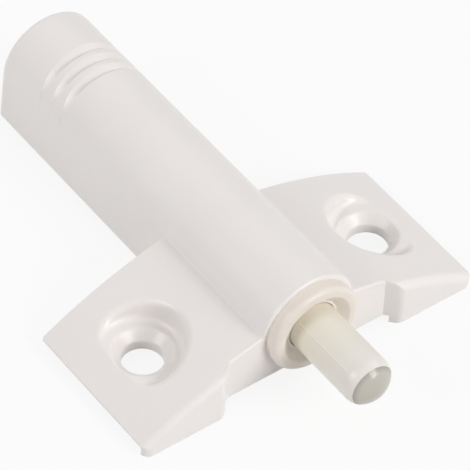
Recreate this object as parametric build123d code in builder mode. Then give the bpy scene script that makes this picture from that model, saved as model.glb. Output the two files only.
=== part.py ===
"""Soft-close cabinet door bumper: a sprung oil damper in a screw-on cross bracket.

Millimetres, +Z up. The origin lies midway between the two screw holes on the mounting face.
The plunger points along -Y, towards the door, and slides back along +Y.
"""

import os
from math import acos, asin, atan2, cos, degrees, hypot, pi, sin, sqrt

from build123d import *

os.makedirs("parts", exist_ok=True)

# Bracket wings
screw_spacing = 32.0
screw_hole_radius = 2.5
wing_end_land = 1.45
wing_rear_y = 9.5
wing_tip_height = 0.35
wing_root_rise = 1.05
wing_root_x = 6.0
wing_crown_radius = 55.0
front_y = -10.7
front_setback = 1.4
step_width = 1.5
lip_inner_x = 12.55
lip_depth = 1.1
lip_thickness = 0.9
front_corner_radius = 1.0
step_corner_radius = 1.2
rear_corner_radius = 0.25
hollow_corner_radius = 0.6
wing_wall = 1.5
rib_thickness = 1.2
hollow_margin = 3.4
front_rounding = 1.0
inner_rounding = 0.3
crease_fillet = 0.3

# Screw head seats in the wings
throat_height = 1.25
screw_head_radius = 3.75
throat_rounding = 0.3
pocket_offset = 0.5
pocket_radius = 5.2
pocket_height = 2.3
pocket_floor_rise = 0.15
pocket_draft = 0.15
pocket_foot_rounding = 0.8
pocket_mouth_rounding = 0.9
seat_rim_rounding = 0.4
seat_wall = 1.2

# Bracket tube
axis_height = 5.95
tube_radius = 6.4
base_half_width = 6.9
bore_wall = 1.2
tube_end_wall = 1.5
groove_pitch = 2.05
groove_count = 3
groove_depth = 0.35
groove_slope = 1.3
groove_step = 0.12
groove_fade = 0.05
groove_to_end = 7.9
tube_end_fillet = 0.6

# Damper barrel
collar_radius = 5.9
collar_proud = 0.3
collar_mouth_radius = 4.6
collar_mouth_depth = 1.0
collar_mouth_ledge = 0.3
collar_rim_radius = 0.7
collar_mouth_rounding = 0.3
barrel_lead_chamfer = 0.3
guide_length = 3.5
barrel_wall = 0.9
bore_step = 0.3

# Plunger and bumper tip
plunger_radius = 3.05
stop_length = 1.5
tip_dome_height = 1.3
tip_radius = 2.72
tip_proud = 1.0
tip_overlap = 0.2
tip_head_depth = 1.0
tip_stem_radius = 1.2
tip_stem_length = 3.5
nose_length = 1.3
web_length = 1.0
stroke = 10.5

# Return spring
spring_wire = 0.5
spring_side_gap = 0.45
spring_turns = 6
spring_points_per_turn = 12
spring_spare_length = 1.0
spring_washer_thickness = 0.4

# Rod and its seal
rod_radius = 1.0
rod_neck_radius = 0.7
rod_chamfer = 0.15
guide_bush_length = 3.0
bush_land = 0.8
bush_relief = 0.5
rod_seal_length = 2.2
seal_lip_depth = 1.2
seal_mouth = 0.75
backing_washer_thickness = 0.5
foam_length = 5.4
foam_bore_gap = 0.5
divider_thickness = 0.6
divider_hole_count = 6

# Piston
piston_length = 3.2
piston_front_gap = 0.4
piston_rear_gap = 0.6
piston_ring_width = 1.1
piston_ring_section = 0.85
ring_corner = 0.2
passage_radius = 0.45
passage_land = 0.6
passage_count = 4
valve_disc_thickness = 0.25
disc_overlap = 0.3
bleed_radius = 0.2
clip_thickness = 0.5
clip_width = 0.9
clip_groove_depth = 0.2
rod_tail = 0.6

# End plug
plug_spigot_length = 2.8
plug_cap_thickness = 0.8
plug_wall = 0.88
plug_core_depth = 1.6
plug_ring_width = 1.2
plug_ring_section = 0.9

# Clearances
seated_gap = 0.02
running_gap = 0.06
sliding_gap = 0.1
bore_gap = 0.1
end_gap = 0.3
soft_gap = 0.05

# Radii of the bores, from the wall stack
housing_bore_radius = tube_radius - bore_wall
barrel_radius = housing_bore_radius - bore_gap
oil_bore_radius = barrel_radius - barrel_wall
spring_bore_radius = oil_bore_radius - bore_step
guide_bore_radius = plunger_radius + sliding_gap
stop_radius = spring_bore_radius - sliding_gap
seat_radius = oil_bore_radius - seated_gap
piston_radius = oil_bore_radius - sliding_gap
spring_radius = spring_bore_radius - spring_side_gap - spring_wire / 2
divider_circle_radius = (rod_radius + end_gap + seat_radius) / 2
passage_circle_radius = piston_radius - piston_ring_section - passage_land - passage_radius
plug_core_radius = seat_radius - plug_ring_section - plug_wall

# Stations along the axis, from the collar's face to the tube's end
inner_front_y = front_y + front_setback
collar_front_y = front_y - collar_proud
guide_rear_y = front_y + guide_length
stop_front_y = guide_rear_y + sliding_gap
stop_rear_y = stop_front_y + stop_length
spring_length = stroke + spring_wire * spring_turns + spring_spare_length
spring_rear_y = stop_rear_y + spring_length
bush_front_y = spring_rear_y + spring_washer_thickness
bush_rear_y = bush_front_y + guide_bush_length
seal_rear_y = bush_rear_y + rod_seal_length
backing_rear_y = seal_rear_y + backing_washer_thickness
foam_rear_y = backing_rear_y + foam_length
divider_rear_y = foam_rear_y + divider_thickness
piston_front_y = divider_rear_y + piston_front_gap
piston_rear_y = piston_front_y + piston_length
disc_front_y = piston_rear_y + soft_gap
disc_rear_y = disc_front_y + valve_disc_thickness
clip_front_y = disc_rear_y + soft_gap
clip_rear_y = clip_front_y + clip_thickness
rod_rear_y = clip_rear_y + rod_tail
plug_front_y = rod_rear_y + stroke + piston_rear_gap
barrel_rear_y = plug_front_y + plug_spigot_length
plug_rear_y = barrel_rear_y + plug_cap_thickness
housing_bore_end_y = plug_rear_y + end_gap
tube_rear_y = housing_bore_end_y + tube_end_wall
tip_front_y = front_y - stroke - tip_proud
plunger_front_y = tip_front_y + tip_dome_height
tip_seat_y = plunger_front_y + tip_head_depth
stem_rear_y = tip_seat_y + tip_stem_length
rod_front_y = stem_rear_y + web_length

screw_x = screw_spacing / 2
pocket_x = screw_x + pocket_offset
wing_half = pocket_x + pocket_radius + wing_end_land
wing_root_height = axis_height + wing_root_rise

# The plunger's axis, and the plane that turned sections are drawn on: local x is Y, local y is the radius
plunger_axis = Axis((0, 0, axis_height), (0, 1, 0))
turned_plane = Plane(origin=(0, 0, axis_height), x_dir=(0, 1, 0), z_dir=(1, 0, 0))


def across(y):
    """Plane square to the axis at this station: local x is X, local y is Z, and it faces the door."""
    return Plane(origin=(0, y, 0), x_dir=(1, 0, 0), z_dir=(0, -1, 0))


def ring_section(front, rear, inner, outer, mode=Mode.ADD):
    """Rectangle between two stations and two radii, on the turned plane."""
    with Locations(((front + rear) / 2, (inner + outer) / 2)):
        Rectangle(rear - front, outer - inner, mode=mode)


# Crown of each wing: an arc about an axis parallel to the plunger's
crown_chord_x = wing_half - wing_root_x
crown_chord_z = wing_root_height - wing_tip_height
crown_chord = hypot(crown_chord_x, crown_chord_z)
crown_sweep = 40
crown_rise = sqrt(wing_crown_radius**2 - (crown_chord / 2) ** 2)
crown_x = (wing_half + wing_root_x) / 2 - crown_rise * crown_chord_z / crown_chord
crown_z = (wing_root_height + wing_tip_height) / 2 - crown_rise * crown_chord_x / crown_chord


def crown_height(x, inset=0):
    """Height of the right wing's crown, or of an arc inset from it, at this distance from the middle."""
    return crown_z + sqrt((wing_crown_radius - inset) ** 2 - (x - crown_x) ** 2)


# Hollow under one wing, round the boss of the screw seat and between two ribs
hollow_inner_x = base_half_width + bore_wall
hollow_outer_x = wing_half - hollow_margin
hollow_low_height = pocket_height - seat_wall

with BuildPart() as hollow:
    with BuildSketch(across(wing_rear_y - wing_wall)):
        with BuildLine():
            inner_top = (hollow_inner_x, crown_height(hollow_inner_x, wing_wall))
            outer_top = (hollow_outer_x, crown_height(hollow_outer_x, wing_wall))
            Polyline(outer_top, (hollow_outer_x, -lip_depth), (hollow_inner_x, -lip_depth), inner_top)
            RadiusArc(outer_top, inner_top, wing_wall - wing_crown_radius)
        make_face()
    extrude(amount=wing_rear_y - inner_front_y - 2 * wing_wall)
    fillet(hollow.edges().filter_by(Axis.Z), hollow_corner_radius)
    with BuildSketch(Plane.XZ):
        with BuildLine():
            Polyline(
                (screw_x, -2 * lip_depth),
                (screw_x + screw_hole_radius + seat_wall, -2 * lip_depth),
                (screw_x + screw_hole_radius + seat_wall, hollow_low_height),
                (pocket_x + pocket_radius + seat_wall, hollow_low_height),
                (pocket_x + pocket_radius + seat_wall, wing_root_height),
                (screw_x, wing_root_height),
                close=True,
            )
        make_face()
    revolve(axis=Axis((screw_x, 0, 0), (0, 0, 1)), mode=Mode.SUBTRACT)
    with Locations((screw_x, 0, 0)):
        Box(2 * wing_half, rib_thickness, 4 * wing_root_height, mode=Mode.SUBTRACT)
        Box(rib_thickness, 2 * wing_half, 4 * wing_root_height, mode=Mode.SUBTRACT)

# The tube's straight flanks lean out from the arch to the base, tangent to the arch
flank_angle = degrees(
    acos(tube_radius / hypot(base_half_width, axis_height)) - atan2(axis_height, base_half_width)
)

with BuildPart() as housing:
    # Crowned wings, thick at the tube and thin at their tips
    with BuildSketch(across(wing_rear_y)):
        with BuildLine():
            Line((wing_root_x, wing_root_height), (-wing_root_x, wing_root_height))
            RadiusArc((-wing_half, wing_tip_height), (-wing_root_x, wing_root_height), wing_crown_radius)
            RadiusArc((wing_half, wing_tip_height), (wing_root_x, wing_root_height), -wing_crown_radius)
            Polyline(
                (-wing_half, wing_tip_height),
                (-wing_half, 0),
                (wing_half, 0),
                (wing_half, wing_tip_height),
            )
        make_face()
    extrude(amount=wing_rear_y - front_y)

    # Outline seen from above, with the middle of the front set back
    with BuildSketch(Plane.XY.offset(-lip_depth)) as outline:
        with BuildLine():
            Polyline(
                (-wing_half, wing_rear_y),
                (-wing_half, front_y),
                (-lip_inner_x, front_y),
                (-lip_inner_x + step_width, inner_front_y),
                (lip_inner_x - step_width, inner_front_y),
                (lip_inner_x, front_y),
                (wing_half, front_y),
                (wing_half, wing_rear_y),
                close=True,
            )
        make_face()
        step_corners = outline.vertices().group_by(Axis.Y)[0].sort_by(Axis.X)[1:3]
        fillet(step_corners, step_corner_radius)
        front_corners = outline.vertices().group_by(Axis.Y)[0].sort_by(Axis.X)
        fillet([front_corners[0], front_corners[-1]], front_corner_radius)
        rear_corners = outline.vertices().group_by(Axis.Y)[-1]
        fillet(rear_corners, rear_corner_radius)
    extrude(amount=lip_depth + wing_root_height, mode=Mode.INTERSECT)

    # Lips that hook over the cabinet's front edge
    with BuildSketch(Plane.XY) as lips:
        add(outline.sketch)
        with Locations((0, front_y + lip_thickness / 2)):
            Rectangle(2 * wing_half, lip_thickness, mode=Mode.INTERSECT)
    extrude(amount=-lip_depth)

    # The front edge of each crown is rounded over, as far in as the step
    for side in (-1, 1):
        with BuildSketch(Plane(origin=(side * crown_x, 0, crown_z), x_dir=(0, 1, 0), z_dir=(1, 0, 0))):
            with BuildLine():
                Polyline(
                    (front_y, wing_crown_radius - front_rounding),
                    (front_y - 1, wing_crown_radius - front_rounding),
                    (front_y - 1, wing_crown_radius + 1),
                    (front_y + front_rounding, wing_crown_radius + 1),
                    (front_y + front_rounding, wing_crown_radius),
                )
                CenterArc(
                    (front_y + front_rounding, wing_crown_radius - front_rounding),
                    front_rounding,
                    90,
                    90,
                )
            make_face()
        revolve(
            axis=Axis((side * crown_x, 0, crown_z), (0, side, 0)),
            revolution_arc=crown_sweep,
            mode=Mode.SUBTRACT,
        )

    # Arch-section tube
    with BuildSketch(across(tube_rear_y)):
        with BuildLine():
            arch = CenterArc((0, axis_height), tube_radius, flank_angle, 180 - 2 * flank_angle)
            Polyline(arch @ 1, (-base_half_width, 0), (base_half_width, 0), arch @ 0)
        make_face()
    extrude(amount=tube_rear_y - inner_front_y)

    # Soft edges: the creases beside the tube, the tube's end, and the edge over the inner front
    creases = [
        edge
        for edge in housing.edges().filter_by(Axis.Y)
        if edge.center().Z > axis_height and edge.length < wing_rear_y - front_y
    ]
    fillet(creases, crease_fillet)
    tube_end = housing.faces().sort_by(Axis.Y)[-1]
    fillet(tube_end.edges().group_by(Axis.Z)[1:], tube_end_fillet)
    inner_front_arcs = [
        edge
        for edge in housing.edges().filter_by(GeomType.CIRCLE)
        if edge.radius > tube_radius and abs(edge.center().Y - inner_front_y) < seated_gap
    ]
    fillet(inner_front_arcs, inner_rounding)

    # Three shallow saw-tooth rings near the tube's end, cut about a lower axis so that they fade at the sides
    groove_axis_height = axis_height - groove_depth - groove_fade
    groove_foot_radius = tube_radius + groove_fade
    groove_top_radius = tube_radius + groove_fade + groove_depth
    with BuildSketch(Plane.XY.offset(groove_axis_height)):
        for ring in range(groove_count):
            foot_y = tube_rear_y - groove_to_end - ring * groove_pitch
            with BuildLine():
                Polyline(
                    (groove_foot_radius, foot_y),
                    (groove_top_radius, foot_y + groove_slope),
                    (groove_top_radius + groove_depth, foot_y + groove_slope),
                    (groove_top_radius + groove_depth, foot_y - groove_step),
                    (groove_top_radius, foot_y - groove_step),
                    close=True,
                )
            make_face()
    revolve(axis=Axis((0, 0, groove_axis_height), (0, -1, 0)), revolution_arc=180, mode=Mode.SUBTRACT)

    # Screw seats: a round pocket whose mouth rolls out to the crown, and a countersink in its floor
    cone_top_height = throat_height + screw_head_radius - screw_hole_radius
    for side in (-1, 1):
        with BuildSketch(Plane.XZ) as pocket:
            with BuildLine():
                Polyline(
                    (side * pocket_x, pocket_height),
                    (side * (pocket_x + pocket_radius), pocket_height + pocket_floor_rise),
                    (side * (pocket_x + pocket_radius + pocket_draft), wing_root_height),
                    (side * pocket_x, wing_root_height),
                    close=True,
                )
            make_face()
            fillet(pocket.vertices().sort_by(Axis.Y)[1], pocket_foot_rounding)
        revolve(axis=Axis((side * pocket_x, 0, 0), (0, 0, 1)), mode=Mode.SUBTRACT)
        mouth_edges = housing.edges(Select.LAST).filter_by(GeomType.BSPLINE)
        fillet(mouth_edges, pocket_mouth_rounding)
        with BuildSketch(Plane.XZ) as seat:
            with BuildLine():
                Polyline(
                    (side * screw_x, -2 * lip_depth),
                    (side * (screw_x + screw_hole_radius), -2 * lip_depth),
                    (side * (screw_x + screw_hole_radius), throat_height),
                    (side * (screw_x + screw_head_radius), cone_top_height),
                    (side * screw_x, cone_top_height),
                    close=True,
                )
            make_face()
            fillet(seat.vertices().sort_by(Axis.Y)[2], throat_rounding)
        revolve(axis=Axis((side * screw_x, 0, 0), (0, 0, 1)), mode=Mode.SUBTRACT)
        rim_edges = housing.edges(Select.LAST).filter_by(GeomType.BSPLINE)
        fillet(rim_edges, seat_rim_rounding)

    # Hollows under the wings
    add(hollow.part, mode=Mode.SUBTRACT)
    add(hollow.part.mirror(Plane.YZ), mode=Mode.SUBTRACT)

    # Blind bore for the damper, from the inner front face
    with BuildSketch(across(inner_front_y)):
        with Locations((0, axis_height)):
            Circle(housing_bore_radius)
    extrude(amount=inner_front_y - housing_bore_end_y, mode=Mode.SUBTRACT)

housing.part.label = "housing"
export_step(housing.part, "parts/housing.step")

# Damper barrel: collar and guide at the front, oil bore behind a small step, open at the rear
with BuildPart() as barrel:
    with BuildSketch(turned_plane):
        with BuildLine():
            Polyline(
                (collar_front_y + collar_mouth_depth, guide_bore_radius),
                (guide_rear_y, guide_bore_radius),
                (guide_rear_y, spring_bore_radius),
                (spring_rear_y, spring_bore_radius),
                (spring_rear_y, oil_bore_radius),
                (barrel_rear_y, oil_bore_radius),
                (barrel_rear_y, barrel_radius),
                (inner_front_y, barrel_radius),
                (inner_front_y, collar_radius),
                (collar_front_y, collar_radius),
                (collar_front_y, collar_mouth_radius),
                (collar_front_y + collar_mouth_depth, guide_bore_radius + collar_mouth_ledge),
                close=True,
            )
        make_face()
    revolve(axis=plunger_axis)
    collar_rim = barrel.edges().filter_by(GeomType.CIRCLE).group_by(Axis.Y)[0].sort_by(SortBy.RADIUS)[-1]
    fillet(collar_rim, collar_rim_radius)
    mouth_edge = barrel.edges().filter_by(GeomType.CIRCLE).group_by(Axis.Y)[0].sort_by(SortBy.RADIUS)[0]
    fillet(mouth_edge, collar_mouth_rounding)
    lead_edge = barrel.edges().filter_by(GeomType.CIRCLE).group_by(Axis.Y)[-1].sort_by(SortBy.RADIUS)[-1]
    chamfer(lead_edge, barrel_lead_chamfer)

barrel.part.label = "barrel"
export_step(barrel.part, "parts/barrel.step")

# Plunger: push rod with a rounded nose, a stop collar that keeps it in the barrel, and two blind bores
with BuildPart() as plunger:
    with BuildSketch(turned_plane):
        with BuildLine():
            Polyline(
                (plunger_front_y, tip_radius - tip_overlap),
                (tip_seat_y, tip_radius - tip_overlap),
                (tip_seat_y, tip_stem_radius),
                (stem_rear_y, tip_stem_radius),
                (stem_rear_y, 0),
                (rod_front_y, 0),
                (rod_front_y, rod_radius + seated_gap),
                (stop_rear_y, rod_radius + seated_gap),
                (stop_rear_y, stop_radius),
                (stop_front_y, stop_radius),
                (stop_front_y, plunger_radius),
                (plunger_front_y + nose_length, plunger_radius),
            )
            TangentArc(
                (plunger_front_y + nose_length, plunger_radius),
                (plunger_front_y, tip_radius),
                tangent=(-1, 0),
            )
            Line((plunger_front_y, tip_radius), (plunger_front_y, tip_radius - tip_overlap))
        make_face()
    revolve(axis=plunger_axis)

plunger.part.label = "plunger"
export_step(plunger.part, "parts/plunger.step")

# Soft bumper tip: domed head flush in the plunger's nose, with a stem pressed into it
dome_radius = (tip_radius**2 + tip_dome_height**2) / (2 * tip_dome_height)
dome_centre_y = tip_front_y + dome_radius
dome_half_angle = asin(tip_radius / dome_radius) / 2

with BuildPart() as tip_pad:
    with BuildSketch(turned_plane):
        with BuildLine():
            Polyline(
                (tip_front_y, 0),
                (stem_rear_y - end_gap, 0),
                (stem_rear_y - end_gap, tip_stem_radius - seated_gap),
                (tip_seat_y, tip_stem_radius - seated_gap),
                (tip_seat_y, tip_radius - tip_overlap - seated_gap),
                (plunger_front_y, tip_radius - tip_overlap - seated_gap),
                (plunger_front_y, tip_radius),
            )
            ThreePointArc(
                (plunger_front_y, tip_radius),
                (dome_centre_y - dome_radius * cos(dome_half_angle), dome_radius * sin(dome_half_angle)),
                (tip_front_y, 0),
            )
        make_face()
    revolve(axis=plunger_axis)

tip_pad.part.label = "tip_pad"
export_step(tip_pad.part, "parts/tip_pad.step")

# Steel rod, with a neck for the piston and a groove for its retaining ring
with BuildPart() as piston_rod:
    with BuildSketch(turned_plane):
        ring_section(rod_front_y, piston_front_y, 0, rod_radius)
        ring_section(piston_front_y, rod_rear_y, 0, rod_neck_radius)
        ring_section(
            clip_front_y,
            clip_rear_y,
            rod_neck_radius - clip_groove_depth,
            rod_radius,
            mode=Mode.SUBTRACT,
        )
    revolve(axis=plunger_axis)
    rod_ends = piston_rod.edges().filter_by(GeomType.CIRCLE).group_by(Axis.Y)
    chamfer(rod_ends[0] + rod_ends[-1], rod_chamfer)

piston_rod.part.label = "piston_rod"
export_step(piston_rod.part, "parts/piston_rod.step")

# Return spring, wound round the rod between the plunger's stop and its steel seat
with BuildPart() as return_spring:
    coil_front_y = stop_rear_y + spring_wire / 2 + seated_gap
    coil_rear_y = spring_rear_y - spring_wire / 2 - seated_gap
    coil_steps = spring_turns * spring_points_per_turn
    with BuildLine():
        coil = Spline(
            *[
                (
                    spring_radius * cos(step * 2 * pi / spring_points_per_turn),
                    coil_front_y + (coil_rear_y - coil_front_y) * step / coil_steps,
                    axis_height + spring_radius * sin(step * 2 * pi / spring_points_per_turn),
                )
                for step in range(coil_steps + 1)
            ]
        )
    with BuildSketch(Plane(origin=coil @ 0, z_dir=coil % 0)):
        RegularPolygon(spring_wire / 2, 6)
    sweep()

return_spring.part.label = "return_spring"
export_step(return_spring.part, "parts/return_spring.step")

# Steel washer that the spring bears on, against the step in the bore
with BuildPart() as spring_washer:
    with BuildSketch(turned_plane):
        ring_section(spring_rear_y, bush_front_y, rod_radius + end_gap, seat_radius)
    revolve(axis=plunger_axis)

spring_washer.part.label = "spring_washer"
export_step(spring_washer.part, "parts/spring_washer.step")

# Guide bush that the rod runs in, thinned round its middle
with BuildPart() as guide_bush:
    with BuildSketch(turned_plane):
        ring_section(bush_front_y, bush_rear_y, rod_radius + running_gap, seat_radius)
        ring_section(
            bush_front_y + bush_land,
            bush_rear_y - bush_land,
            seat_radius - bush_relief,
            seat_radius,
            mode=Mode.SUBTRACT,
        )
    revolve(axis=plunger_axis)

guide_bush.part.label = "guide_bush"
export_step(guide_bush.part, "parts/guide_bush.step")

# Lip seal round the rod: a heel on the bush and two lips open towards the oil
with BuildPart() as rod_seal:
    seal_middle_radius = (rod_radius + seat_radius) / 2
    with BuildSketch(turned_plane):
        ring_section(bush_rear_y, seal_rear_y, rod_radius + running_gap, seat_radius)
        with BuildLine():
            Polyline(
                (seal_rear_y, seal_middle_radius - seal_mouth),
                (seal_rear_y - seal_lip_depth, seal_middle_radius - seal_mouth / 3),
                (seal_rear_y - seal_lip_depth, seal_middle_radius + seal_mouth / 3),
                (seal_rear_y, seal_middle_radius + seal_mouth),
                close=True,
            )
        make_face(mode=Mode.SUBTRACT)
    revolve(axis=plunger_axis)

rod_seal.part.label = "rod_seal"
export_step(rod_seal.part, "parts/rod_seal.step")

# Steel washer that backs the seal
with BuildPart() as backing_washer:
    with BuildSketch(turned_plane):
        ring_section(seal_rear_y, backing_rear_y, rod_radius + end_gap, seat_radius)
    revolve(axis=plunger_axis)

backing_washer.part.label = "backing_washer"
export_step(backing_washer.part, "parts/backing_washer.step")

# Closed-cell ring that gives way to the volume of the rod
with BuildPart() as compensation_foam:
    with BuildSketch(turned_plane):
        ring_section(backing_rear_y, foam_rear_y, rod_radius + foam_bore_gap, seat_radius)
    revolve(axis=plunger_axis)

compensation_foam.part.label = "compensation_foam"
export_step(compensation_foam.part, "parts/compensation_foam.step")

# Perforated disc between the foam and the oil
with BuildPart() as divider_disc:
    with BuildSketch(across(divider_rear_y)):
        with Locations((0, axis_height)):
            Circle(seat_radius)
            Circle(rod_radius + end_gap, mode=Mode.SUBTRACT)
            with PolarLocations(divider_circle_radius, divider_hole_count):
                Circle(passage_radius, mode=Mode.SUBTRACT)
    extrude(amount=divider_thickness)

divider_disc.part.label = "divider_disc"
export_step(divider_disc.part, "parts/divider_disc.step")

# Piston with a groove for its ring and oil passages right through
with BuildPart() as piston:
    piston_middle_y = (piston_front_y + piston_rear_y) / 2
    with BuildSketch(turned_plane):
        ring_section(piston_front_y, piston_rear_y, rod_neck_radius + seated_gap, piston_radius)
        ring_section(
            piston_middle_y - piston_ring_width / 2,
            piston_middle_y + piston_ring_width / 2,
            piston_radius - piston_ring_section,
            piston_radius,
            mode=Mode.SUBTRACT,
        )
    revolve(axis=plunger_axis)
    with BuildSketch(across(piston_rear_y)):
        with Locations((0, axis_height)):
            with PolarLocations(passage_circle_radius, passage_count):
                Circle(passage_radius)
    extrude(amount=piston_length, mode=Mode.SUBTRACT)

piston.part.label = "piston"
export_step(piston.part, "parts/piston.step")

# Ring that seals the piston in the oil bore
with BuildPart() as piston_ring:
    ring_inner = piston_radius - piston_ring_section + soft_gap
    ring_outer = oil_bore_radius - soft_gap
    ring_half_width = piston_ring_width / 2 - soft_gap
    with BuildSketch(turned_plane):
        ring_section(
            piston_middle_y - ring_half_width,
            piston_middle_y + ring_half_width,
            ring_inner,
            ring_outer,
        )
    revolve(axis=plunger_axis)

piston_ring.part.label = "piston_ring"
export_step(piston_ring.part, "parts/piston_ring.step")

# Thin disc that covers the passages on the way in, with one bleed hole that sets the damping
with BuildPart() as valve_disc:
    with BuildSketch(across(disc_rear_y)):
        with Locations((0, axis_height)):
            Circle(passage_circle_radius + passage_radius + disc_overlap)
            Circle(rod_neck_radius + seated_gap, mode=Mode.SUBTRACT)
        with Locations((passage_circle_radius, axis_height)):
            Circle(bleed_radius, mode=Mode.SUBTRACT)
    extrude(amount=valve_disc_thickness)

valve_disc.part.label = "valve_disc"
export_step(valve_disc.part, "parts/valve_disc.step")

# Open retaining ring in the groove of the rod's neck
with BuildPart() as rod_clip:
    with BuildSketch(across(clip_rear_y - seated_gap)):
        clip_inner = rod_neck_radius - clip_groove_depth + seated_gap
        with Locations((0, axis_height)):
            Circle(clip_inner + clip_width)
            Circle(clip_inner, mode=Mode.SUBTRACT)
            Rectangle(
                2 * clip_inner,
                2 * rod_radius,
                align=(Align.CENTER, Align.MIN),
                mode=Mode.SUBTRACT,
            )
    extrude(amount=clip_thickness - 2 * seated_gap)

rod_clip.part.label = "rod_clip"
export_step(rod_clip.part, "parts/rod_clip.step")

# Plug that closes the barrel's rear, cored from behind, with a groove for its seal
with BuildPart() as end_plug:
    plug_ring_y = (plug_front_y + barrel_rear_y) / 2
    with BuildSketch(turned_plane):
        ring_section(plug_front_y, barrel_rear_y, 0, seat_radius)
        ring_section(barrel_rear_y, plug_rear_y, 0, barrel_radius)
        ring_section(plug_rear_y - plug_core_depth, plug_rear_y, 0, plug_core_radius, mode=Mode.SUBTRACT)
        ring_section(
            plug_ring_y - plug_ring_width / 2,
            plug_ring_y + plug_ring_width / 2,
            seat_radius - plug_ring_section,
            seat_radius,
            mode=Mode.SUBTRACT,
        )
    revolve(axis=plunger_axis)

end_plug.part.label = "end_plug"
export_step(end_plug.part, "parts/end_plug.step")

# Rubber ring in the plug's groove
with BuildPart() as plug_seal:
    seal_inner = seat_radius - plug_ring_section + seated_gap
    seal_half_width = plug_ring_width / 2 - soft_gap
    with BuildSketch(turned_plane) as seal_section:
        ring_section(plug_ring_y - seal_half_width, plug_ring_y + seal_half_width, seal_inner, seat_radius)
        chamfer(seal_section.vertices(), ring_corner)
    revolve(axis=plunger_axis)

plug_seal.part.label = "plug_seal"
export_step(plug_seal.part, "parts/plug_seal.step")
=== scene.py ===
"""Looks of the soft-close cabinet door bumper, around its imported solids."""

from math import cos, radians, sin

import bmesh
import bpy
from mathutils import Matrix, Vector


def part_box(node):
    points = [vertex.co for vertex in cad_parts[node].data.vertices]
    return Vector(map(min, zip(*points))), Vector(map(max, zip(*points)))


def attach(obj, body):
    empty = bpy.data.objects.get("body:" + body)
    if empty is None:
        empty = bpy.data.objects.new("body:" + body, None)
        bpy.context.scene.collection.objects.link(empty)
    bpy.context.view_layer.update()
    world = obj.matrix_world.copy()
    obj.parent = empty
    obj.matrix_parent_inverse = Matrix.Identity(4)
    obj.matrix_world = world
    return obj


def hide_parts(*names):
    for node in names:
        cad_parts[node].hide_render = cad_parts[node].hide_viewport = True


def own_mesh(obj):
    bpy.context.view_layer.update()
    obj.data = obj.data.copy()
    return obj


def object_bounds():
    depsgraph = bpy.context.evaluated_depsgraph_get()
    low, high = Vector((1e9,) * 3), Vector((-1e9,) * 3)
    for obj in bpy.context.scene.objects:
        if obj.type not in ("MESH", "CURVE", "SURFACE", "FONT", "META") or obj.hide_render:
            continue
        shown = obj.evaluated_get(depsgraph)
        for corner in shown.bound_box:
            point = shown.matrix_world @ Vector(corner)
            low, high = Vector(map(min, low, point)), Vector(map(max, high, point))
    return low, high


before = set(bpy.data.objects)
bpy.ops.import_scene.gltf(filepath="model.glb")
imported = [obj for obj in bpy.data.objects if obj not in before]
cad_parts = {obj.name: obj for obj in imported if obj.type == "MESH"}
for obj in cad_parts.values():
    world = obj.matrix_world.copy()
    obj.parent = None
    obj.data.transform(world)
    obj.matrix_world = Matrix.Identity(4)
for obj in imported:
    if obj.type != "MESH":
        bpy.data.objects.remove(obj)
cad_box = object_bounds()

MM = 0.001
AXIS_HEIGHT = sum(corner[2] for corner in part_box("plunger")) / 2


# Nodes and colours
def linear(hex_colour):
    """An sRGB hex colour as linear RGBA."""
    channels = [int(hex_colour[i:i + 2], 16) / 255 for i in (1, 3, 5)]
    return [c / 12.92 if c <= 0.04045 else ((c + 0.055) / 1.055) ** 2.4 for c in channels] + [1.0]


def add_node(tree, kind, inputs=None, **settings):
    """Adds a node, sets its settings, and sets or links its inputs."""
    node = tree.nodes.new(kind)
    for name, value in settings.items():
        setattr(node, name, value)
    for name, value in (inputs or {}).items():
        socket = node.inputs[name]
        if isinstance(value, bpy.types.NodeSocket):
            tree.links.new(value, socket)
        else:
            socket.default_value = value
    return node


def new_material(name):
    """An empty material, its node tree and its output node."""
    material = bpy.data.materials.new(name)
    material.use_nodes = True
    tree = material.node_tree
    tree.nodes.clear()
    output = add_node(tree, "ShaderNodeOutputMaterial")
    return material, tree, output


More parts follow.
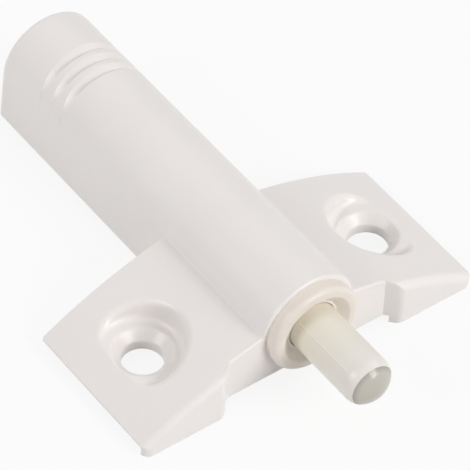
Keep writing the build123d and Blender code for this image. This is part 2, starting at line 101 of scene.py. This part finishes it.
# Materials
def moulded(name, light, dark, mottle_mm, roughness, grain_mm, grain_deep_mm,
            swell_mm, swell_deep_mm, fade=None, **shader):
    """An injection-moulded plastic or rubber.

    Two near shades cloud into each other where the melt flowed and cooled, the skin has the grain
    of a spark-eroded tool, and wide shallow sink marks bend its highlights. The real grain is
    0.03 to 0.1 mm wide and a few thousandths of a millimetre deep, too fine to show in the render,
    so it is drawn several times as coarse, and deeper on the pieces that the camera sees.

    A fade, where given, is (axes kept, start in mm, end in mm, shade): the colour blends into that
    shade from the start distance to the end distance, measured along the kept axes from the point
    of the plunger's axis that stands over the origin.
    """
    material, tree, output = new_material(name)
    place = add_node(tree, "ShaderNodeTexCoord").outputs["Object"]
    cloud = add_node(tree, "ShaderNodeTexNoise", {
        "Vector": place, "Scale": 1 / (mottle_mm * MM), "Detail": 3.0, "Roughness": 0.5})
    colour = add_node(tree, "ShaderNodeMix", {
        "Factor": cloud.outputs["Fac"], "A": linear(dark), "B": linear(light)}, data_type="RGBA")
    if fade:
        kept_axes, start_mm, end_mm, shade = fade
        from_axis = add_node(tree, "ShaderNodeVectorMath", {
            0: place, 1: (0, 0, AXIS_HEIGHT)}, operation="SUBTRACT")
        kept = add_node(tree, "ShaderNodeVectorMath", {
            0: from_axis.outputs["Vector"], 1: kept_axes}, operation="MULTIPLY")
        reach = add_node(tree, "ShaderNodeVectorMath", {
            0: kept.outputs["Vector"]}, operation="LENGTH")
        share = add_node(tree, "ShaderNodeMapRange", {
            "Value": reach.outputs["Value"], "From Min": start_mm * MM, "From Max": end_mm * MM})
        colour = add_node(tree, "ShaderNodeMix", {
            "Factor": share.outputs["Result"], "A": colour.outputs["Result"], "B": linear(shade)},
            data_type="RGBA")
    gloss = add_node(tree, "ShaderNodeMapRange", {
        "Value": cloud.outputs["Fac"], "To Min": roughness[0], "To Max": roughness[1]})
    swell = add_node(tree, "ShaderNodeTexNoise", {
        "Vector": place, "Scale": 1 / (swell_mm * MM), "Detail": 0.0})
    sink_marks = add_node(tree, "ShaderNodeBump", {
        "Height": swell.outputs["Fac"], "Distance": swell_deep_mm * MM, "Strength": 1.0})
    grain = add_node(tree, "ShaderNodeTexNoise", {
        "Vector": place, "Scale": 1 / (grain_mm * MM), "Detail": 2.0, "Roughness": 0.6})
    skin = add_node(tree, "ShaderNodeBump", {
        "Height": grain.outputs["Fac"], "Distance": grain_deep_mm * MM, "Strength": 1.0,
        "Normal": sink_marks.outputs["Normal"]})
    surface = add_node(tree, "ShaderNodeBsdfPrincipled", {
        "Base Color": colour.outputs["Result"], "Roughness": gloss.outputs["Result"],
        "Normal": skin.outputs["Normal"], **shader})
    tree.links.new(surface.outputs["BSDF"], output.inputs["Surface"])
    return material


def worked_steel(name, light, dark, roughness, stretch, line_mm, line_deep_mm):
    """A bare steel: fine lines that lie along its working direction, brighter and duller in turn.

    The stretch draws the lines out along the axes where its value is small. Real ones are about
    0.01 mm apart, too fine to show, so they are drawn 0.06 to 0.1 mm apart.
    """
    material, tree, output = new_material(name)
    place = add_node(tree, "ShaderNodeTexCoord").outputs["Object"]
    along = add_node(tree, "ShaderNodeMapping", {"Vector": place, "Scale": stretch})
    lines = add_node(tree, "ShaderNodeTexNoise", {
        "Vector": along.outputs["Vector"], "Scale": 1 / (line_mm * MM),
        "Detail": 3.0, "Roughness": 0.6})
    colour = add_node(tree, "ShaderNodeMix", {
        "Factor": lines.outputs["Fac"], "A": linear(dark), "B": linear(light)}, data_type="RGBA")
    gloss = add_node(tree, "ShaderNodeMapRange", {
        "Value": lines.outputs["Fac"], "To Min": roughness[0], "To Max": roughness[1]})
    relief = add_node(tree, "ShaderNodeBump", {
        "Height": lines.outputs["Fac"], "Distance": line_deep_mm * MM, "Strength": 1.0})
    surface = add_node(tree, "ShaderNodeBsdfPrincipled", {
        "Base Color": colour.outputs["Result"], "Roughness": gloss.outputs["Result"],
        "Normal": relief.outputs["Normal"], "Metallic": 1.0})
    tree.links.new(surface.outputs["BSDF"], output.inputs["Surface"])
    return material


# Housing: white ABS, moulded with a satin skin, which gives soft wide highlights on a warm white
housing_plastic = moulded(
    "white_abs_moulded", light="#F1ECE9", dark="#ECE7E4", mottle_mm=9.0, roughness=(0.26, 0.42),
    grain_mm=0.3, grain_deep_mm=0.02, swell_mm=11.0, swell_deep_mm=0.1, IOR=1.53)
# Collar and barrel: cream acetal, moulded, which is waxier and warmer than the housing
collar_acetal = moulded(
    "cream_acetal_moulded", light="#ECE3DB", dark="#E6DDD2", mottle_mm=5.0, roughness=(0.26, 0.46),
    grain_mm=0.28, grain_deep_mm=0.014, swell_mm=6.0, swell_deep_mm=0.05, IOR=1.48)
# Push rod: natural acetal, moulded and worn smooth by its guide, milky and slightly yellow, and its
# colour turns yellower towards the collar
rod_acetal = moulded(
    "natural_acetal_moulded", light="#EDE8E1", dark="#E7E2DB", mottle_mm=4.0,
    roughness=(0.27, 0.38), grain_mm=0.25, grain_deep_mm=0.01, swell_mm=5.0, swell_deep_mm=0.04,
    fade=((0, 1, 0), 19.5, 11.5, "#EBE5D5"), IOR=1.48)
# Bumper tip: soft grey elastomer, moulded and glossy, so that it carries one sharp highlight, with
# painted shade that darkens its colour round its edge, where it turns in over the rod's rim
tip_elastomer = moulded(
    "grey_elastomer_moulded", light="#C5C1B6", dark="#BCB8AD", mottle_mm=2.5,
    roughness=(0.12, 0.26), grain_mm=0.35, grain_deep_mm=0.005, swell_mm=3.0, swell_deep_mm=0.02,
    # The fade here is painted shade: a darker colour towards the tip's rim
    fade=((1, 0, 1), 2.25, 2.7, "#ABA79D"), IOR=1.41)
# Guide bush and end plug: acetal, white and grey, moulded in polished tools, so that their skin is
# smoother than the housing's
bush_acetal = moulded(
    "white_acetal_moulded", light="#EFEEEA", dark="#E6E5E0", mottle_mm=3.0, roughness=(0.28, 0.42),
    grain_mm=0.3, grain_deep_mm=0.002, swell_mm=4.0, swell_deep_mm=0.01, IOR=1.48)
plug_acetal = moulded(
    "grey_acetal_moulded", light="#B9B8B4", dark="#AEADA9", mottle_mm=3.0, roughness=(0.28, 0.5),
    grain_mm=0.3, grain_deep_mm=0.002, swell_mm=4.0, swell_deep_mm=0.01, IOR=1.48)
# Piston: black nylon filled with glass, moulded, whose fibres dull and roughen its skin
piston_nylon = moulded(
    "black_glass_filled_nylon", light="#2E2E30", dark="#1D1D1F", mottle_mm=0.8,
    roughness=(0.3, 0.8), grain_mm=0.12, grain_deep_mm=0.006, swell_mm=2.0, swell_deep_mm=0.01,
    IOR=1.53)
# Divider disc: natural nylon without filler, moulded, which leaves it horn-coloured and half dull
disc_nylon = moulded(
    "natural_nylon_moulded", light="#DED8C6", dark="#D2CBB7", mottle_mm=1.5, roughness=(0.3, 0.58),
    grain_mm=0.15, grain_deep_mm=0.003, swell_mm=2.0, swell_deep_mm=0.01, IOR=1.53)
# Seals: nitrile rubber, pressed in a mould, near black with a dull bloom
seal_rubber = moulded(
    "black_nitrile_rubber", light="#26262A", dark="#18181A", mottle_mm=0.7, roughness=(0.4, 0.9),
    grain_mm=0.1, grain_deep_mm=0.003, swell_mm=1.5, swell_deep_mm=0.005, IOR=1.52)

# Return spring and rod clip: music wire, drawn through a die, so that fine scores run along the
# wire, round each turn
spring_wire_steel = worked_steel(
    "drawn_music_wire", light="#C9C7C2", dark="#9C9A96", roughness=(0.28, 0.46),
    stretch=(0.12, 1.0, 0.12), line_mm=0.08, line_deep_mm=0.002)
# Washers and valve disc: strip steel, rolled and stamped, with lines in the rolling direction
washer_steel = worked_steel(
    "rolled_strip_steel", light="#BDBDBC", dark="#96969A", roughness=(0.18, 0.58),
    stretch=(1.0, 1.0, 0.06), line_mm=0.1, line_deep_mm=0.002)
# Damper rod: steel, ground round between wheels and polished, so that its lines run round it
rod_steel = worked_steel(
    "ground_polished_steel", light="#D6D6D6", dark="#BEBEC0", roughness=(0.05, 0.25),
    stretch=(0.05, 1.0, 0.05), line_mm=0.06, line_deep_mm=0.0006)

FOAM_CELL = 0.35 * MM
FOAM_PIT_DEPTH = 0.08 * MM


def closed_cell_foam():
    """Compensation ring: nitrile foam, blown and cut, whose opened cells pit its grey skin."""
    material, tree, output = new_material("closed_cell_foam")
    place = add_node(tree, "ShaderNodeTexCoord").outputs["Object"]
    cells = add_node(tree, "ShaderNodeTexVoronoi", {"Vector": place, "Scale": 1 / FOAM_CELL})
    shade = add_node(tree, "ShaderNodeMix", {
        "Factor": cells.outputs["Distance"], "A": linear("#3A3A3C"), "B": linear("#6B6B6C")},
        data_type="RGBA")
    pits = add_node(tree, "ShaderNodeBump", {
        "Height": cells.outputs["Distance"], "Distance": FOAM_PIT_DEPTH, "Strength": 1.0})
    surface = add_node(tree, "ShaderNodeBsdfPrincipled", {
        "Base Color": shade.outputs["Result"], "Roughness": 0.85, "Normal": pits.outputs["Normal"]})
    tree.links.new(surface.outputs["BSDF"], output.inputs["Surface"])
    return material


FINISHES = {
    "housing": housing_plastic,
    "barrel": collar_acetal,
    "plunger": rod_acetal,
    "tip_pad": tip_elastomer,
    "spring_washer": washer_steel,
    "backing_washer": washer_steel,
    "valve_disc": washer_steel,
    "rod_clip": spring_wire_steel,
    "piston_rod": rod_steel,
    "guide_bush": bush_acetal,
    "end_plug": plug_acetal,
    "rod_seal": seal_rubber,
    "piston_ring": seal_rubber,
    "plug_seal": seal_rubber,
    "compensation_foam": closed_cell_foam(),
    "divider_disc": disc_nylon,
    "piston": piston_nylon,
}
for node_name, material in FINISHES.items():
    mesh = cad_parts[node_name].data
    mesh.materials.clear()
    mesh.materials.append(material)


# Return spring, wound by a Geometry Nodes tree: closed turns at its ends, an even pitch between
def coil_tree():
    """A helix of round wire about the plunger's axis, between two stations along Y."""
    tree = bpy.data.node_groups.new("coil_spring", "GeometryNodeTree")
    sockets = tree.interface
    for name, kind in (
        ("Turns", "NodeSocketFloat"),
        ("Coil Radius", "NodeSocketFloat"),
        ("Wire Radius", "NodeSocketFloat"),
        ("Length", "NodeSocketFloat"),
        ("Front", "NodeSocketFloat"),
        ("Axis Height", "NodeSocketFloat"),
        ("Steps per Turn", "NodeSocketInt"),
        ("Wire Sides", "NodeSocketInt"),
        ("Wire Finish", "NodeSocketMaterial"),
    ):
        sockets.new_socket(name, in_out="INPUT", socket_type=kind)
    sockets.new_socket("Geometry", in_out="OUTPUT", socket_type="NodeSocketGeometry")
    given = add_node(tree, "NodeGroupInput").outputs
    helix = add_node(tree, "GeometryNodeCurveSpiral", {
        "Resolution": given["Steps per Turn"], "Rotations": given["Turns"],
        "Start Radius": given["Coil Radius"], "End Radius": given["Coil Radius"], "Height": 0.0})
    place = add_node(tree, "ShaderNodeSeparateXYZ", {
        "Vector": add_node(tree, "GeometryNodeInputPosition").outputs["Position"]})
    share = add_node(tree, "GeometryNodeSplineParameter").outputs["Factor"]
    one_turn = add_node(tree, "ShaderNodeMath", {0: 1.0, 1: given["Turns"]}, operation="DIVIDE")
    last_turn = add_node(tree, "ShaderNodeMath", {
        0: 1.0, 1: one_turn.outputs[0]}, operation="SUBTRACT")
    wire = add_node(tree, "ShaderNodeMath", {
        0: given["Wire Radius"], 1: 2.0}, operation="MULTIPLY")
    stack = add_node(tree, "ShaderNodeMath", {
        0: wire.outputs[0], 1: given["Turns"]}, operation="MULTIPLY")
    travel = add_node(tree, "ShaderNodeMath", {
        0: given["Length"], 1: wire.outputs[0]}, operation="SUBTRACT")
    spread = add_node(tree, "ShaderNodeMath", {
        0: travel.outputs[0], 1: stack.outputs[0]}, operation="SUBTRACT")
    closed = add_node(tree, "ShaderNodeMath", {
        0: stack.outputs[0], 1: share}, operation="MULTIPLY")
    opened = add_node(tree, "ShaderNodeMapRange", {
        "Value": share, "From Min": one_turn.outputs[0], "From Max": last_turn.outputs[0],
        "To Min": 0.0, "To Max": spread.outputs[0]}, interpolation_type="SMOOTHSTEP")
    rise = add_node(tree, "ShaderNodeMath", {0: closed.outputs[0], 1: opened.outputs["Result"]})
    start = add_node(tree, "ShaderNodeMath", {0: given["Front"], 1: given["Wire Radius"]})
    station = add_node(tree, "ShaderNodeMath", {0: start.outputs[0], 1: rise.outputs[0]})
    height = add_node(tree, "ShaderNodeMath", {0: given["Axis Height"], 1: place.outputs["Y"]})
    point = add_node(tree, "ShaderNodeCombineXYZ", {
        "X": place.outputs["X"], "Y": station.outputs[0], "Z": height.outputs[0]})
    wound = add_node(tree, "GeometryNodeSetPosition", {
        "Geometry": helix.outputs["Curve"], "Position": point.outputs["Vector"]})
    section = add_node(tree, "GeometryNodeCurvePrimitiveCircle", {
        "Resolution": given["Wire Sides"], "Radius": given["Wire Radius"]})
    solid = add_node(tree, "GeometryNodeCurveToMesh", {
        "Curve": wound.outputs["Geometry"], "Profile Curve": section.outputs["Curve"],
        "Fill Caps": True})
    real = add_node(tree, "GeometryNodeRealizeInstances", {"Geometry": solid.outputs["Mesh"]})
    finished = add_node(tree, "GeometryNodeSetMaterial", {
        "Geometry": real.outputs["Geometry"], "Material": given["Wire Finish"]})
    add_node(tree, "NodeGroupOutput", {"Geometry": finished.outputs["Geometry"]})
    return tree


def grown(name, tree, values):
    """The plain mesh that a Geometry Nodes tree makes of these named inputs."""
    holder = bpy.data.objects.new(name + "_holder", bpy.data.meshes.new(name + "_holder"))
    bpy.context.collection.objects.link(holder)
    modifier = holder.modifiers.new("grow", "NODES")
    modifier.node_group = tree
    for item in tree.interface.items_tree:
        if item.in_out == "INPUT":
            modifier[item.identifier] = values[item.name]
    depsgraph = bpy.context.evaluated_depsgraph_get()
    mesh = bpy.data.meshes.new_from_object(holder.evaluated_get(depsgraph))
    holder.modifiers.remove(modifier)
    bpy.data.objects.remove(holder)
    mesh.name = name
    piece = bpy.data.objects.new(name, mesh)
    bpy.context.collection.objects.link(piece)
    return piece


SPRING_WIRE = 0.5 * MM
SPRING_TURNS = 6.0
STEPS_PER_TURN = 40
WIRE_SIDES = 14
spring_low, spring_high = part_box("return_spring")
spring_length = spring_high[1] - spring_low[1]
coil = grown("return_coil", coil_tree(), {
    "Turns": SPRING_TURNS,
    "Coil Radius": (spring_high[0] - spring_low[0] - SPRING_WIRE) / 2,
    "Wire Radius": SPRING_WIRE / 2,
    "Length": spring_length,
    "Front": spring_low[1],
    "Axis Height": AXIS_HEIGHT,
    "Steps per Turn": STEPS_PER_TURN,
    "Wire Sides": WIRE_SIDES,
    "Wire Finish": spring_wire_steel,
})
for face in coil.data.polygons:
    face.use_smooth = True
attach(coil, "bracket")
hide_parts("return_spring")
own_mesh(coil)


# Push rod's parting lines: the two low ridges that the halves of its mould leave along its sides,
# drawn wider and higher than real ones are, so that they show
ROD_RADIUS = 3.05 * MM
RIDGE_ANGLES = (-48, 132)
RIDGE_FRONT = -20.0 * MM
RIDGE_REAR = -9.2 * MM
RIDGE_RUN_OUT = 1.5 * MM
RIDGE_HALF_WIDTH = 0.2 * MM
RIDGE_HEIGHT = 0.06 * MM
RIDGE_DEPTH = 0.08 * MM
# The ridge's section, as shares of its half width and height, and how much of that height it has
# at each station along the rod
RIDGE_SECTION = ((-1.0, 0.0), (-0.35, 0.85), (0.0, 1.0), (0.35, 0.85), (1.0, 0.0))
RIDGE_STATIONS = (
    (RIDGE_FRONT, 0.0),
    (RIDGE_FRONT + RIDGE_RUN_OUT, 1.0),
    (RIDGE_REAR - RIDGE_RUN_OUT, 1.0),
    (RIDGE_REAR, 0.0),
)


def parting_ridge(name, angle):
    """A low ridge along the rod's skin, this many degrees round from its top."""
    turned = radians(angle)
    across = Vector((cos(turned), 0, -sin(turned)))
    outward = Vector((sin(turned), 0, cos(turned)))
    points = []
    for station, share in RIDGE_STATIONS:
        centre = Vector((0, station, AXIS_HEIGHT))
        for side, rise in RIDGE_SECTION:
            proud = RIDGE_HEIGHT * share * rise - RIDGE_DEPTH * (1 - rise * share)
            sideways = across * side * RIDGE_HALF_WIDTH
            points.append(centre + sideways + outward * (ROD_RADIUS + proud))
        points.append(centre + outward * (ROD_RADIUS - 2 * RIDGE_DEPTH))
    ring = len(RIDGE_SECTION) + 1
    faces = []
    for first in range(0, ring * (len(RIDGE_STATIONS) - 1), ring):
        for near in range(ring):
            far = (near + 1) % ring
            faces.append([first + near, first + far, first + ring + far, first + ring + near])
    faces.append(list(range(ring))[::-1])
    faces.append(list(range(len(points) - ring, len(points))))
    mesh = bpy.data.meshes.new(name)
    mesh.from_pydata(points, [], faces)
    mesh.materials.append(rod_acetal)
    build = bmesh.new()
    build.from_mesh(mesh)
    bmesh.ops.recalc_face_normals(build, faces=build.faces)
    build.to_mesh(mesh)
    build.free()
    ridge = bpy.data.objects.new(name, mesh)
    bpy.context.collection.objects.link(ridge)
    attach(ridge, "push_rod")


for number, angle in enumerate(RIDGE_ANGLES, start=1):
    parting_ridge("parting_ridge_%d" % number, angle)


# Camera, solved from the photo with the screw holes 32 mm apart
PHOTO_WIDTH = 470
CAMERA_PLACE = Vector((-178.29, -217.96, 310.01)) * MM
CAMERA_RIGHT = (0.8045, -0.5927, 0.0380)
CAMERA_UP = (0.4108, 0.6015, 0.6852)
CAMERA_BACK = (-0.4290, -0.5356, 0.7274)
FOCAL_PIXELS = 3664.1
SENSOR_MM = 36.0
camera_data = bpy.data.cameras.new("camera")
camera_data.sensor_width = SENSOR_MM
camera_data.lens = FOCAL_PIXELS / PHOTO_WIDTH * SENSOR_MM
camera = bpy.data.objects.new("camera", camera_data)
bpy.context.collection.objects.link(camera)
turn = Matrix((CAMERA_RIGHT, CAMERA_UP, CAMERA_BACK)).transposed()
camera.matrix_world = Matrix.Translation(CAMERA_PLACE) @ turn.to_4x4()
bpy.context.scene.camera = camera


def seen_share(tree, value):
    """This value for the rays that see the backdrop, and 0 for those that light the object."""
    path = add_node(tree, "ShaderNodeLightPath").outputs
    direct = add_node(tree, "ShaderNodeMath", {
        0: path["Is Camera Ray"], 1: path["Is Glossy Ray"]}, operation="MAXIMUM")
    seen = add_node(tree, "ShaderNodeMath", {
        0: direct.outputs[0], 1: path["Is Transmission Ray"]}, operation="MAXIMUM")
    share = add_node(tree, "ShaderNodeMath", {
        0: seen.outputs[0], 1: value}, operation="MULTIPLY")
    return share.outputs[0]


# Floor: a plain pale table under the lip's lowest edge, which the camera sees near white, and which
# keeps the object's shadow
FLOOR_HALF = 1.5
FLOOR_GLOW = 0.88
floor_z = cad_box[0][2]
floor_mesh = bpy.data.meshes.new("floor")
floor_mesh.from_pydata(
    [(x * FLOOR_HALF, y * FLOOR_HALF, floor_z) for x, y in ((-1, -1), (1, -1), (1, 1), (-1, 1))],
    [], [(0, 1, 2, 3)])
floor = bpy.data.objects.new("floor", floor_mesh)
bpy.context.collection.objects.link(floor)
floor_paint, tree, output = new_material("white_table")
lit = add_node(tree, "ShaderNodeBsdfDiffuse", {"Color": linear("#E6E6E6")})
glow = add_node(tree, "ShaderNodeEmission", {"Color": (1, 1, 1, 1), "Strength": 1.0})
shown = add_node(tree, "ShaderNodeMixShader", {
    0: seen_share(tree, FLOOR_GLOW), 1: lit.outputs["BSDF"], 2: glow.outputs["Emission"]})
tree.links.new(shown.outputs["Shader"], output.inputs["Surface"])
floor_mesh.materials.append(floor_paint)

bpy.context.scene.view_settings.view_transform = "Standard"

# Light: an even white room, which is seen as white, and four soft boxes
ROOM_LEVEL = 0.35
LAMP_DISTANCE = 0.7
world = bpy.data.worlds.new("white_room")
bpy.context.scene.world = world
world.use_nodes = True
tree = world.node_tree
tree.nodes.clear()
room_level = add_node(tree, "ShaderNodeMapRange", {
    "Value": seen_share(tree, 1.0), "To Min": ROOM_LEVEL, "To Max": 1.0})
room = add_node(tree, "ShaderNodeBackground", {
    "Color": (1, 1, 1, 1), "Strength": room_level.outputs["Result"]})
add_node(tree, "ShaderNodeOutputWorld", {"Surface": room.outputs["Background"]})


def soft_box(name, azimuth, elevation, size, watts):
    """A square lamp that looks at the origin, this many degrees round from the front and up."""
    lamp = bpy.data.lights.new(name, "AREA")
    lamp.size = size
    lamp.energy = watts
    holder = bpy.data.objects.new(name, lamp)
    bpy.context.collection.objects.link(holder)
    around, up = radians(azimuth), radians(elevation)
    towards = Vector((sin(around) * cos(up), -cos(around) * cos(up), sin(up)))
    holder.location = towards * LAMP_DISTANCE
    holder.rotation_euler = (-holder.location).to_track_quat("-Z", "Y").to_euler()


soft_box("front_box", azimuth=22, elevation=30, size=0.3, watts=2.49)
soft_box("left_box", azimuth=-102, elevation=33, size=0.3, watts=1.53)
soft_box("right_box", azimuth=90, elevation=45, size=0.5, watts=0.74)
soft_box("back_box", azimuth=180, elevation=30, size=1.0, watts=1.0)
